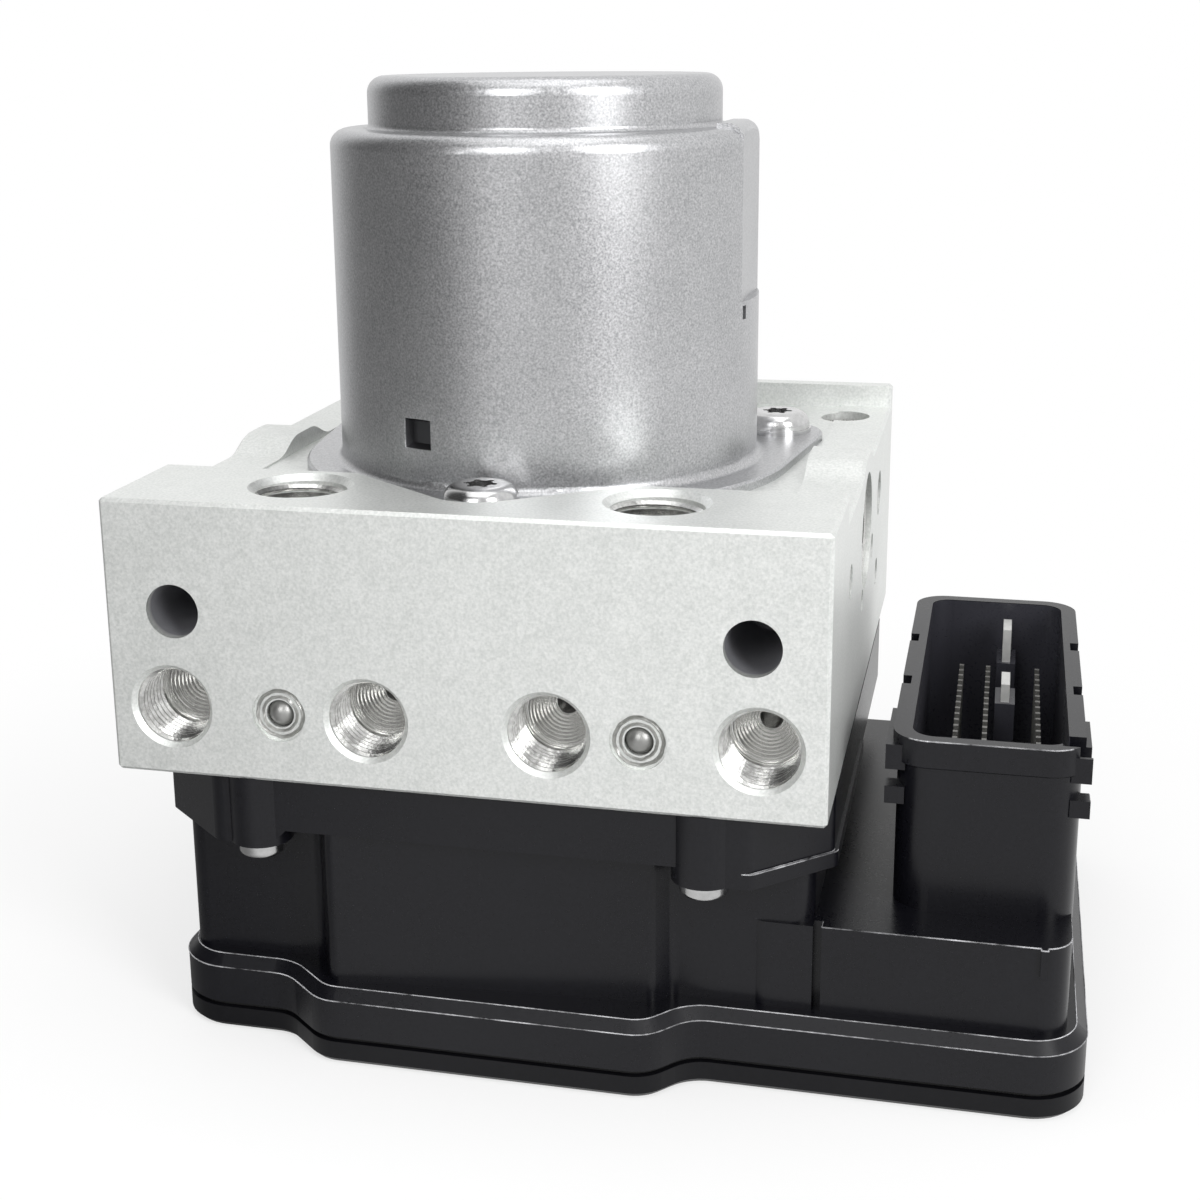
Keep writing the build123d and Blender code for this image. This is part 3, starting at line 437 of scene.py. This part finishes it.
def can_finish():
    material = finish(
        "plated_can", (0.33, 0.335, 0.345), (0.62, 0.62, 0.63), 0.9, (0.28, 0.4), 3400.0,
        broad=90.0, amounts=(2.2, 0.3), bump=0.3,
    )
    tree = material.node_tree
    shader = tree.nodes["Principled BSDF"]
    plain = shader.inputs["Base Color"].links[0].from_socket
    x, y, z = place_axes(tree)
    squares = [calc(tree, "MULTIPLY", step, step) for step in (x, y)]
    radius = calc(tree, "SQRT", calc(tree, "ADD", *squares))
    under = ramp(tree, calc(tree, "SUBTRACT", CAN_R, radius), *UNDER_WALL)
    low = calc(tree, "LESS_THAN", z, MARK_TOP)
    left = calc(tree, "LESS_THAN", x, MARK_SIDE)
    # painted shade inside the punched marks
    dark = calc(tree, "MULTIPLY", under, calc(tree, "MULTIPLY", low, left))
    tree.links.new(blend(tree, dark, plain, MARK_PAINTED_SHADE), shader.inputs["Base Color"])
    return material


can_metal = can_finish()
print("can finish", can_metal.name)

# %% [markdown]
# ## Put the finishes on the solids
# A finish belongs to a mesh through its material slot. The solids keep their shape and place, and
# only that slot changes. One table pairs each finish with its pieces, and whatever it leaves out lies
# inside the unit and is ground steel.

# %% Put the finishes on the solids
DRESSED = [
    (block_metal, ["valve_block", "accumulator_caps"]),
    (can_metal, ["motor_can"]),
    (ball_metal, ["front_ball_plugs", "side_ball_plugs"]),
    (machined_metal, ["pump_plugs"]),
    (screw_metal, ["motor_screws", "ecu_screws"]),
    (housing_black, ["ecu_housing"]),
    (cover_black, ["ecu_cover", "brush_plate", "valve_coils"]),
    (seal_black, ["ecu_gasket"]),
    (pin_metal, ["connector_pins", "coil_pins"]),
    (blade_metal, ["power_blades"]),
    (board_green, ["circuit_board"]),
    (chip_black, ["board_components"]),
    (copper_wire, ["rotor_winding", "commutator"]),
    (carbon_block, ["brushes"]),
    (magnet_grey, ["motor_magnets"]),
]
finish_of = {name: material for material, names in DRESSED for name in names}
for name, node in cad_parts.items():
    node.data.materials.clear()
    node.data.materials.append(finish_of.get(name, inner_steel))
print("dressed", len(finish_of), "pieces, and", len(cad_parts) - len(finish_of), "in ground steel")

# %% [markdown]
# ## Threads in the ports
# A pipe nut screws into each port, so its wall carries a fine thread. It could be a bump texture, but
# then the port's lip would stay smooth against the light. A helix of small ridges, swept as a mesh a
# little way in from the bored wall, reads as a thread at any distance and costs few faces.

# %% Mesh helper and thread helper
INTO_WALL = 0.02 * MM
RIDGE_PROFILE = (0.05, 0.42, 0.58, 0.95)
RUN_OUT_TURNS = 0.4
LEAST_RIDGE = 0.02


def mesh_piece(name, verts, faces, material, smooth=True):
    mesh = bpy.data.meshes.new(name)
    mesh.from_pydata([tuple(v) for v in verts], [], faces)
    mesh.update()
    mesh.materials.append(material)
    for face in mesh.polygons:
        face.use_smooth = smooth
    piece = bpy.data.objects.new(name, mesh)
    bpy.context.scene.collection.objects.link(piece)
    return piece


def thread(name, matrix, radius, pitch, depth, turns, steps=56):
    verts = []
    faces = []
    total = int(turns * steps)
    wall = radius + INTO_WALL
    run_out = steps * RUN_OUT_TURNS
    for i in range(total + 1):
        angle = 2 * math.pi * i / steps
        fade = min(1.0, i / run_out, (total - i) / run_out)
        inward = radius - depth * max(fade, LEAST_RIDGE)
        along = pitch * i / steps
        c, s = math.cos(angle), math.sin(angle)
        for r, share in zip((wall, inward, inward, wall), RIDGE_PROFILE):
            verts.append(matrix @ Vector((r * c, r * s, along + share * pitch)))
    for i in range(total):
        a = 4 * i
        for k in range(3):
            faces.append((a + k, a + k + 1, a + k + 5, a + k + 4))
        faces.append((a + 3, a, a + 4, a + 7))
    faces.append((0, 3, 2, 1))
    faces.append((4 * total, 4 * total + 1, 4 * total + 2, 4 * total + 3))
    piece = mesh_piece(name, verts, faces, thread_metal, smooth=False)
    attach(piece, "unit")


thread_metal = finish(
    "cut_thread", (0.4, 0.4, 0.39), (0.88, 0.88, 0.86), 0.95, (0.16, 0.26), 1300.0,
    broad=260.0, amounts=(1.2, 1.6),
)
print("thread finish", thread_metal.name)

# %% Threads in the wheel ports and the supply ports
TOP_PORT_X = [-25.3 * MM, 25.3 * MM]
TOP_PORT_Y = -41.7 * MM
TOP_PORT_R = 6.45 * MM
TOP_THREAD_Z = 70.3 * MM

into_block = Matrix.Rotation(-math.pi / 2, 4, "X")
for i, x in enumerate(PORT_X):
    place = Matrix.Translation((x, FRONT_Y + 0.6 * MM, PORT_Z)) @ into_block
    thread("wheel_port_thread_%d" % (i + 1), place, PORT_R, pitch=1.0 * MM, depth=0.5 * MM, turns=7.6)
for i, x in enumerate(TOP_PORT_X):
    place = Matrix.Translation((x, TOP_PORT_Y, TOP_THREAD_Z))
    thread("supply_port_thread_%d" % (i + 1), place, TOP_PORT_R, pitch=1.2 * MM, depth=0.62 * MM, turns=7.8)

# %% [markdown]
# ## Staking marks around the ball plugs
# Each ball is held by a punch that pushes the block's metal over it and leaves rough rings around it.
# A perfect torus would look cast. A ring is therefore a low ridge swept round the ball's axis, and a
# few waves of different length make its radius and height uneven, as struck metal is.

# %% Staking rings
BALL_X = [-25.1 * MM, 25.1 * MM]
STAKE_Y = FRONT_Y + 0.5 * MM
RIDGE_FOOT = -0.03 * MM
RADIUS_WAVE = 0.03
HEIGHT_WAVE = 0.5


def stake_ring(name, x, radius, width, height, steps=72):
    waves = [(k, random.uniform(0, 2 * math.pi)) for k in (3, 5, 8, 13)]
    verts = []
    faces = []
    for i in range(steps):
        angle = 2 * math.pi * i / steps
        wobble = sum(math.sin(k * angle + phase) for k, phase in waves) / len(waves)
        middle = radius * (1 + RADIUS_WAVE * wobble)
        tall = height * (1 + HEIGHT_WAVE * wobble)
        for r, out in ((middle - width / 2, RIDGE_FOOT), (middle, tall), (middle + width / 2, RIDGE_FOOT)):
            verts.append((x + r * math.cos(angle), STAKE_Y - out, PORT_Z + r * math.sin(angle)))
        a = 3 * i
        b = 3 * ((i + 1) % steps)
        faces += [(a + k, a + (k + 1) % 3, b + (k + 1) % 3, b + k) for k in range(3)]
    piece = mesh_piece(name, verts, faces, stake_metal, smooth=False)
    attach(piece, "unit")


for side, x in zip(("left", "right"), BALL_X):
    stake_ring("stake_ring_inner_" + side, x, radius=2.45 * MM, width=0.5 * MM, height=0.42 * MM)
    stake_ring("stake_ring_outer_" + side, x, radius=3.3 * MM, width=0.6 * MM, height=0.34 * MM)

# %% [markdown]
# ## Copies of the springs
# A spring is one rigid solid in the CAD frame, so a moving piston would cut through it or leave it
# behind. Each return spring gets a copy of its own mesh, which stands for the solid, and the solid is
# hidden. The accumulator springs' copies hang from the unit with a mesh of their own, and the pump
# springs' copies have their place baked into the mesh.

# %% Springs of the accumulators and the pump
bpy.context.view_layer.update()


def flexing_spring(node):
    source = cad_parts[node]
    piece = bpy.data.objects.new(node + "_flexing", source.data.copy())
    bpy.context.scene.collection.objects.link(piece)
    piece.matrix_world = source.matrix_world
    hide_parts(node)
    return piece


for side in ("left", "right"):
    store_spring = flexing_spring("accumulator_spring_" + side)
    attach(store_spring, "unit")
    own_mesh(store_spring)
    pump_spring = flexing_spring("pump_spring_" + side)
    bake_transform(pump_spring)

# %% [markdown]
# ## Painted highlights on the control unit's rim
# The rim's two edges catch the light as thin broken lines on the black plastic, and that shine is a
# painted highlight here. A bevel on the solid would have to be finer than its mesh. So the lines
# follow the housing's own mesh instead: every edge where the sloped face of the rim meets a flat one
# is found, and the edges are joined into closed lines.

# %% Find the rim's edges in the housing's mesh
RIM_CREST = 11.3 * MM
RIM_SLOPE = 1.5 * MM
SHORTEST_LINE = 9
SLOPED = (0.6, 0.8)


def housing_mesh():
    mesh = bmesh.new()
    mesh.from_mesh(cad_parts["ecu_housing"].data)
    bmesh.ops.remove_doubles(mesh, verts=mesh.verts, dist=0.002 * MM)
    return mesh


def rim_edges():
    mesh = housing_mesh()
    sloped = set()
    for face in mesh.faces:
        high = face.calc_center_median().z
        if RIM_CREST - RIM_SLOPE < high < RIM_CREST and SLOPED[0] < face.normal.z < SLOPED[1]:
            sloped.add(face.index)
    pairs = []
    for edge in mesh.edges:
        start, end = (v.co for v in edge.verts)
        owners = [face.index in sloped for face in edge.link_faces]
        if len(owners) == 2 and owners[0] != owners[1] and abs(start.z - end.z) < 0.01 * MM:
            pairs.append((start.copy(), end.copy()))
    mesh.free()
    return pairs


def chains(pairs):
    def key(v):
        return (round(v.x / MM, 2), round(v.y / MM, 2), round(v.z / MM, 2))

    ends = {}
    for a, b in pairs:
        ends.setdefault(key(a), []).append(b)
        ends.setdefault(key(b), []).append(a)
    lines = []
    while ends:
        spot = next(iter(ends))
        line = []
        while spot in ends:
            nexts = ends.pop(spot)
            line.append(Vector(spot) * MM)
            open_spots = [key(v) for v in nexts if key(v) in ends]
            spot = open_spots[0] if open_spots else None
        lines.append(line)
    return [line for line in lines if len(line) >= SHORTEST_LINE]


edge_lines = chains(rim_edges())
print("edge lines", [len(line) for line in edge_lines])

# %% [markdown]
# ## Hair-thin tubes along the rim
# A line has no surface, so each one becomes a six-sided tube no thicker than a hair. Its colour is a
# painted highlight that runs from black to bright in broad patches, which breaks the shine up.

# %% Tubes along the rim
TUBE_SIDES = 6
# painted highlight: the tubes' light colour stands in for light caught by the rim's edges
edge_highlight_paint = finish(
    "painted_edge_highlight", (0.01, 0.01, 0.012), (0.5, 0.5, 0.52), 0.0, (0.2, 0.3), 900.0,
    broad=140.0, amounts=(1.2, 3.2), spec=0.6,
)


def ring_round(spot, along, radius):
    first = along.cross(Vector((0, 0, 1))).normalized()
    second = along.cross(first)
    turns = [2 * math.pi * k / TUBE_SIDES for k in range(TUBE_SIDES)]
    return [spot + radius * (math.cos(t) * first + math.sin(t) * second) for t in turns]


def walls_between(a, b):
    pairs = [(k, (k + 1) % TUBE_SIDES) for k in range(TUBE_SIDES)]
    return [(a + k, a + after, b + after, b + k) for k, after in pairs]


def hair_loop(name, line, radius):
    verts = []
    faces = []
    for i, point in enumerate(line):
        after = (i + 1) % len(line)
        verts += ring_round(point, (line[after] - line[i - 1]).normalized(), radius)
        faces += walls_between(i * TUBE_SIDES, after * TUBE_SIDES)
    piece = mesh_piece(name, verts, faces, edge_highlight_paint)
    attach(piece, "unit")


for i, line in enumerate(edge_lines):
    hair_loop("rim_edge_%d" % (i + 1), line, 0.09 * MM)
print("edge tubes", len(edge_lines))

# %% [markdown]
# ## Three more edges with painted highlights
# The lip under the block, the platform's front and the front of the socket's rim get the same painted
# highlight. Each is an edge between a level face and an upright one, at a known height, so one search
# finds them all. They are open lines, so every straight stretch becomes a small closed prism of its own.

# %% Shining edges at the lip, the platform and the socket
SHINING_EDGES = [
    ("lip_edge", 33.8 * MM, 37 * MM, -41 * MM),
    ("platform_edge", 24 * MM, 48 * MM, -41 * MM),
    ("socket_edge", 49 * MM, 57 * MM, -36.8 * MM),
]
UPRIGHT = 0.3
LEVEL = 0.95


def level_edges(height, from_x, to_y):
    mesh = housing_mesh()
    pairs = []
    for edge in mesh.edges:
        spots = [v.co for v in edge.verts]
        if any(abs(s.z - height) > 0.02 * MM or s.y > to_y or s.x < from_x for s in spots):
            continue
        tilts = sorted(abs(face.normal.z) for face in edge.link_faces)
        if len(tilts) == 2 and tilts[0] < UPRIGHT and tilts[1] > LEVEL:
            pairs.append([s.copy() for s in spots])
    mesh.free()
    return pairs


def edge_prisms(name, pairs, radius):
    verts = []
    faces = []
    for start, end in pairs:
        along = (end - start).normalized()
        base = len(verts)
        verts += ring_round(start, along, radius) + ring_round(end, along, radius)
        faces += walls_between(base, base + TUBE_SIDES)
        faces.append(tuple(base + k for k in reversed(range(TUBE_SIDES))))
        faces.append(tuple(base + TUBE_SIDES + k for k in range(TUBE_SIDES)))
    piece = mesh_piece(name, verts, faces, edge_highlight_paint)
    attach(piece, "unit")


for name, height, from_x, to_y in SHINING_EDGES:
    pairs = level_edges(height, from_x, to_y)
    edge_prisms(name, pairs, 0.1 * MM)
    print(name, "stretches", len(pairs))

# %% [markdown]
# ## The studio's tone, for mirrored rays
# The metal mirrors a white room that is darker behind the camera, with a dark screen on the left. A
# real studio would need walls, and they would shade the object. A shader group gives the tone from a
# direction alone, and the floor and the world both use it for mirrored rays.

# %% Studio tone group
SCREEN_WAY = (-0.96, -0.28, 0)
SCREEN_TONE = 0.08
BEHIND_TONE = 0.72


def make_tone_group():
    group = bpy.data.node_groups.new("studio_tone", "ShaderNodeTree")
    group_socket(group, "Vector", "INPUT", "NodeSocketVector")
    group_socket(group, "Tone", "OUTPUT", "NodeSocketFloat")
    inner = group.nodes.new("NodeGroupInput")
    outer = group.nodes.new("NodeGroupOutput")
    split = group.nodes.new("ShaderNodeSeparateXYZ")
    group.links.new(inner.outputs["Vector"], split.inputs[0])
    flat = group.nodes.new("ShaderNodeCombineXYZ")
    group.links.new(split.outputs["X"], flat.inputs["X"])
    group.links.new(split.outputs["Y"], flat.inputs["Y"])
    unit_way = group.nodes.new("ShaderNodeVectorMath")
    unit_way.operation = "NORMALIZE"
    group.links.new(flat.outputs[0], unit_way.inputs[0])
    to_screen = group.nodes.new("ShaderNodeVectorMath")
    to_screen.operation = "DOT_PRODUCT"
    to_screen.inputs[1].default_value = SCREEN_WAY
    group.links.new(unit_way.outputs[0], to_screen.inputs[0])
    way = group.nodes.new("ShaderNodeSeparateXYZ")
    group.links.new(unit_way.outputs[0], way.inputs[0])
    room = ramp(group, way.outputs["Y"], -0.6, 0.3, BEHIND_TONE, 1.0)
    screen = ramp(group, to_screen.outputs["Value"], 0.45, 0.92, 1.0, SCREEN_TONE)
    group.links.new(calc(group, "MULTIPLY", room, screen), outer.inputs["Tone"])
    return group


TONE = make_tone_group()
print("studio tone", TONE.name)

# %% [markdown]
# ## Floor
# The photograph stands on plain white with a soft shadow. A floor that is simply white hides the
# shadow, and a grey one tints the picture. This one shows its own shading near the object and turns
# to pure white further out, and mirrored rays see mostly the studio's tone on it.

# %% Floor
FLOOR_HALF = 9
SHADED_TO = 0.05
WHITE_FROM = 0.19
WHITE_NEAR = 0.62
MIRROR_SHARE = 0.8

floor_mesh = bpy.data.meshes.new("floor")
floor_corners = [(sx * FLOOR_HALF, sy * FLOOR_HALF, 0) for sx, sy in ((-1, -1), (1, -1), (1, 1), (-1, 1))]
floor_mesh.from_pydata(floor_corners, [], [(0, 1, 2, 3)])
floor = bpy.data.objects.new("floor", floor_mesh)
bpy.context.scene.collection.objects.link(floor)
floor_material, floor_tree, floor_shader = empty_material("pale_floor")
floor_shader.inputs["Base Color"].default_value = (0.9, 0.9, 0.9, 1)
floor_shader.inputs["Roughness"].default_value = 0.9
link = floor_tree.links.new
rays = floor_tree.nodes.new("ShaderNodeLightPath")
spot = floor_tree.nodes.new("ShaderNodeTexCoord")
reach = floor_tree.nodes.new("ShaderNodeVectorMath")
reach.operation = "LENGTH"
link(spot.outputs["Object"], reach.inputs[0])
far = ramp(floor_tree, reach.outputs["Value"], SHADED_TO, WHITE_FROM, WHITE_NEAR, 1.0)
tone = add(floor_tree, "ShaderNodeGroup")
tone.node_tree = TONE
link(spot.outputs["Object"], tone.inputs["Vector"])
white_glow = add(floor_tree, "ShaderNodeEmission", Strength=1.0, Color=(1, 1, 1, 1))
mirror_glow = add(floor_tree, "ShaderNodeEmission", Strength=1.0)
link(tone.outputs["Tone"], mirror_glow.inputs["Color"])
mirrored = calc(floor_tree, "MAXIMUM", rays.outputs["Is Glossy Ray"], rays.outputs["Is Transmission Ray"])
for_mirror = floor_tree.nodes.new("ShaderNodeMixShader")
link(calc(floor_tree, "MULTIPLY", mirrored, MIRROR_SHARE), for_mirror.inputs["Fac"])
link(floor_shader.outputs["BSDF"], for_mirror.inputs[1])
link(mirror_glow.outputs["Emission"], for_mirror.inputs[2])
for_camera = floor_tree.nodes.new("ShaderNodeMixShader")
link(calc(floor_tree, "MULTIPLY", rays.outputs["Is Camera Ray"], far), for_camera.inputs["Fac"])
link(for_mirror.outputs["Shader"], for_camera.inputs[1])
link(white_glow.outputs["Emission"], for_camera.inputs[2])
link(for_camera.outputs["Shader"], floor_tree.nodes["Material Output"].inputs["Surface"])
floor_mesh.materials.append(floor_material)
print("floor", floor.name, "nodes", len(floor_tree.nodes))

# %% [markdown]
# ## World
# The world lights the object softly from all round. It answers each kind of ray in its own way: a
# modest white for the light that falls on surfaces, the studio's tone for what metal mirrors, and
# plain white for the camera. One white for all three would either burn the metal out or leave the
# background grey.

# %% World
world = bpy.data.worlds.new("studio")
bpy.context.scene.world = world
world.use_nodes = True
sky = world.node_tree
sky.nodes.clear()
sky_out = sky.nodes.new("ShaderNodeOutputWorld")
soft = add(sky, "ShaderNodeBackground", Color=(1, 1, 1, 1), Strength=0.55)
mirror = add(sky, "ShaderNodeBackground", Strength=1.0)
white = add(sky, "ShaderNodeBackground", Color=(1, 1, 1, 1), Strength=1.0)
way = sky.nodes.new("ShaderNodeTexCoord")
sky_tone = add(sky, "ShaderNodeGroup")
sky_tone.node_tree = TONE
sky.links.new(way.outputs["Generated"], sky_tone.inputs["Vector"])
sky.links.new(sky_tone.outputs["Tone"], mirror.inputs["Color"])
sky_rays = sky.nodes.new("ShaderNodeLightPath")
seen = calc(sky, "MAXIMUM", sky_rays.outputs["Is Glossy Ray"], sky_rays.outputs["Is Transmission Ray"])
light_mix = sky.nodes.new("ShaderNodeMixShader")
sky.links.new(seen, light_mix.inputs["Fac"])
sky.links.new(soft.outputs[0], light_mix.inputs[1])
sky.links.new(mirror.outputs[0], light_mix.inputs[2])
camera_mix = sky.nodes.new("ShaderNodeMixShader")
sky.links.new(sky_rays.outputs["Is Camera Ray"], camera_mix.inputs["Fac"])
sky.links.new(light_mix.outputs[0], camera_mix.inputs[1])
sky.links.new(white.outputs[0], camera_mix.inputs[2])
sky.links.new(camera_mix.outputs[0], sky_out.inputs["Surface"])
print("world nodes", len(sky.nodes))

# %% [markdown]
# ## Lamps
# The photographer's lamps show as the bright side face on the right and the even front. Three soft
# area lamps do that: a key from the right, a fill from the camera's side and a weak one above. Their
# sizes matter more than their number, because a small lamp would throw hard shadows from the can.

# %% Lamps


def lamp(name, at, aim, size, power):
    data = bpy.data.lights.new(name, "AREA")
    data.shape = "RECTANGLE"
    data.size, data.size_y = size
    data.energy = power
    item = bpy.data.objects.new(name, data)
    bpy.context.scene.collection.objects.link(item)
    item.location = at
    item.rotation_euler = (Vector(aim) - Vector(at)).to_track_quat("-Z", "Y").to_euler()


lamp("key_right", at=(0.55, -0.45, 0.4), aim=(0, 0, 0.08), size=(0.25, 0.5), power=3.3)
lamp("fill_front", at=(-0.12, -0.75, 0.45), aim=(0, 0, 0.07), size=(0.3, 0.4), power=2.0)
lamp("top_soft", at=(0.0, -0.1, 0.75), aim=(0, 0, 0.06), size=(0.6, 0.6), power=1.7)
print("lamps", [light.name for light in bpy.data.lights])

# %% [markdown]
# ## Camera
# The camera was solved from the block's corners, the round holes and the motor's outlines: it stands
# 0.28 m in front of the motor's axis, a little to the right and above, and looks slightly left and
# down. The small shift only repeats how the photograph was framed.

# %% Camera
PHOTO_PIXELS = 1200
FOCAL_PIXELS = 1829
CENTRE_PIXEL = (580, 520)
SENSOR_MM = 36
YAW, PITCH, ROLL = math.radians(-13.35), math.radians(14.53), math.radians(-0.54)
EYE = Vector((69.8, -274.1, 140.4)) * MM

ahead = Vector((math.sin(YAW) * math.cos(PITCH), math.cos(YAW) * math.cos(PITCH), -math.sin(PITCH)))
level = Vector((math.cos(YAW), -math.sin(YAW), 0))
upward = level.cross(ahead)
right = math.cos(ROLL) * level + math.sin(ROLL) * upward
above = -math.sin(ROLL) * level + math.cos(ROLL) * upward
camera_data = bpy.data.cameras.new("camera")
camera_data.sensor_width = SENSOR_MM
camera_data.lens = SENSOR_MM * FOCAL_PIXELS / PHOTO_PIXELS
camera_data.shift_x = (PHOTO_PIXELS / 2 - CENTRE_PIXEL[0]) / PHOTO_PIXELS
camera_data.shift_y = (CENTRE_PIXEL[1] - PHOTO_PIXELS / 2) / PHOTO_PIXELS
camera_data.clip_start = 0.01
camera = bpy.data.objects.new("camera", camera_data)
bpy.context.scene.collection.objects.link(camera)
camera.matrix_world = Matrix.Translation(EYE) @ Matrix((right, above, -ahead)).transposed().to_4x4()
bpy.context.scene.camera = camera
bpy.context.scene.view_settings.view_transform = "Standard"
print("lens", round(camera_data.lens, 2), "mm")

# %% [markdown]
# ## Sizes and finish
# The last step defines a helper that turns a box's corners into plain numbers, and prints how many
# solid nodes there are.

# %% Sizes and finish


def plain(box):
    return [[float(v) for v in corner] for corner in box]


print("boxes written for", len(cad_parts), "nodes")
